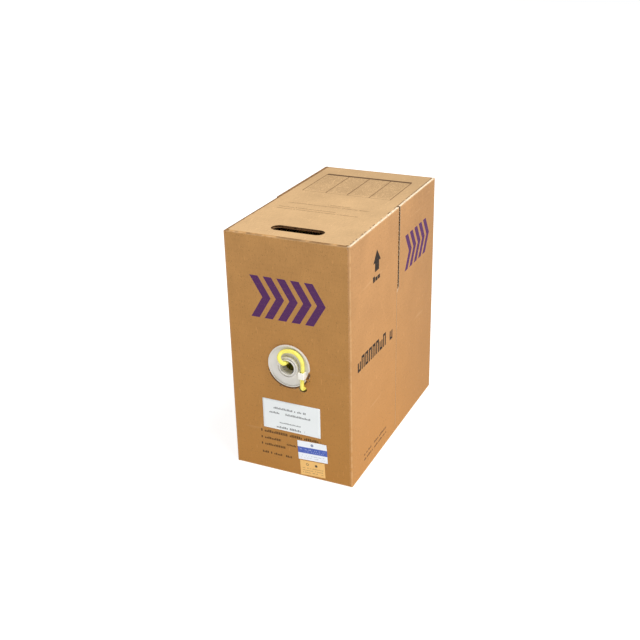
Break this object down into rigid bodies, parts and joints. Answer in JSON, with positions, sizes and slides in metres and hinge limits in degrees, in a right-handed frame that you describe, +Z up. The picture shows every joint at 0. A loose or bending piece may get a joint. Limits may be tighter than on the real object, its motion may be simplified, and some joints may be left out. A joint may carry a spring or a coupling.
{
  "type": "cable spool box",
  "caption": "Corrugated carton with a spool of network cable inside, paid out through a plastic feed tube in the front panel, with a hand hole in the top.",
  "frame": {"origin": "middle of the bottom face", "axes": "+Z up, +X right as seen facing the feed tube, +Y from the front panel to the back panel"},
  "size_m": [0.2, 0.377, 0.39],
  "materials": {
    "kraft_board": "matt",
    "core_board": "matt",
    "white_plastic": "satin",
    "cable_jacket": "satin",
    "plywood": "raw",
    "bush_plastic": "satin",
    "steel": "zinc plated",
    "label_paper": "matt",
    "blue_paper": "matt",
    "tan_paper": "matt"
  },
  "bodies": {
    "carton": {"front_panel": "kraft_board", "back_panel": "kraft_board", "top_panel": "kraft_board", "bottom_panel": "kraft_board", "glue_tab": "kraft_board", "right_top_inner_flap": "kraft_board", "right_bottom_inner_flap": "kraft_board", "left_top_inner_flap": "kraft_board", "left_bottom_inner_flap": "kraft_board", "left_axle_pad": "kraft_board", "right_axle_pad": "kraft_board", "feed_tube": "white_plastic", "tube_lock_ring": "white_plastic", "cable_clip": "white_plastic", "cable_tail": "cable_jacket", "left_axle_cap": "bush_plastic", "right_axle_cap": "bush_plastic", "axle_tube": "steel", "shipping_label": "label_paper", "blue_sticker": "blue_paper", "tan_sticker": "tan_paper"},
    "right_front_flap": {"right_front_flap": "kraft_board"},
    "right_rear_flap": {"right_rear_flap": "kraft_board"},
    "left_front_flap": {"left_front_flap": "kraft_board"},
    "left_rear_flap": {"left_rear_flap": "kraft_board"},
    "hand_hole_flap": {"hand_hole_flap": "kraft_board"},
    "spool": {"spool_core": "core_board", "cable_winding": "cable_jacket", "left_spool_flange": "plywood", "right_spool_flange": "plywood", "left_hub_bush": "bush_plastic", "right_hub_bush": "bush_plastic", "tie_bolts": "steel", "tie_washers": "steel", "tie_nuts": "steel"}
  },
  "joints": [
    {"name": "spool_spin", "type": "hinge", "parent": "carton", "child": "spool", "pos_m": [0, 0, 0.195], "axis": [1, 0, 0], "continuous": true},
    {"name": "right_front_flap_fold", "type": "hinge", "parent": "carton", "child": "right_front_flap", "pos_m": [0.096, -0.18, 0], "axis": [0, 0, -1], "range_deg": [0, 180]},
    {"name": "right_rear_flap_fold", "type": "hinge", "parent": "carton", "child": "right_rear_flap", "pos_m": [0.096, 0.18, 0], "axis": [0, 0, 1], "range_deg": [0, 180]},
    {"name": "left_front_flap_fold", "type": "hinge", "parent": "carton", "child": "left_front_flap", "pos_m": [-0.096, -0.18, 0], "axis": [0, 0, 1], "range_deg": [0, 180]},
    {"name": "left_rear_flap_fold", "type": "hinge", "parent": "carton", "child": "left_rear_flap", "pos_m": [-0.096, 0.18, 0], "axis": [0, 0, -1], "range_deg": [0, 180]},
    {"name": "hand_hole_flap_fold", "type": "hinge", "parent": "carton", "child": "hand_hole_flap", "pos_m": [0.002, -0.153, 0.386], "axis": [-1, 0, 0], "range_deg": [-98, 40]}
  ]
}
